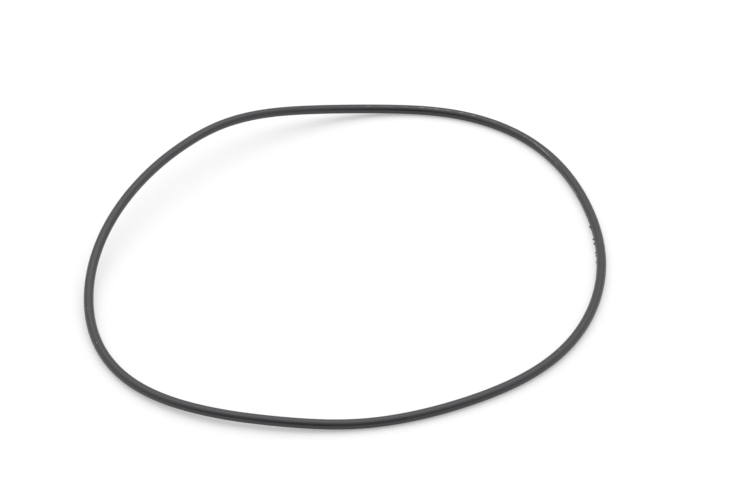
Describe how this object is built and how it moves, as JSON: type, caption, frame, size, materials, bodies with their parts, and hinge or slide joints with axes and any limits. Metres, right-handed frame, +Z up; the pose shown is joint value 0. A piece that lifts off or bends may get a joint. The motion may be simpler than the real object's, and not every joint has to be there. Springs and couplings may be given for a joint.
{
  "type": "o-ring",
  "caption": "Thin black rubber o-ring lying loose on a surface, out of round, with one side arched clear of it.",
  "frame": {"origin": "on the surface that the ring lies on, under the middle of the ring's box", "axes": "+Z is up from that surface, square to the loop; the loop's high arch is on the -X, +Y side"},
  "size_m": [0.189, 0.189, 0.0156],
  "materials": {
    "rubber": "satin"
  },
  "bodies": {
    "root": {"o_ring": "rubber"}
  },
  "joints": []
}
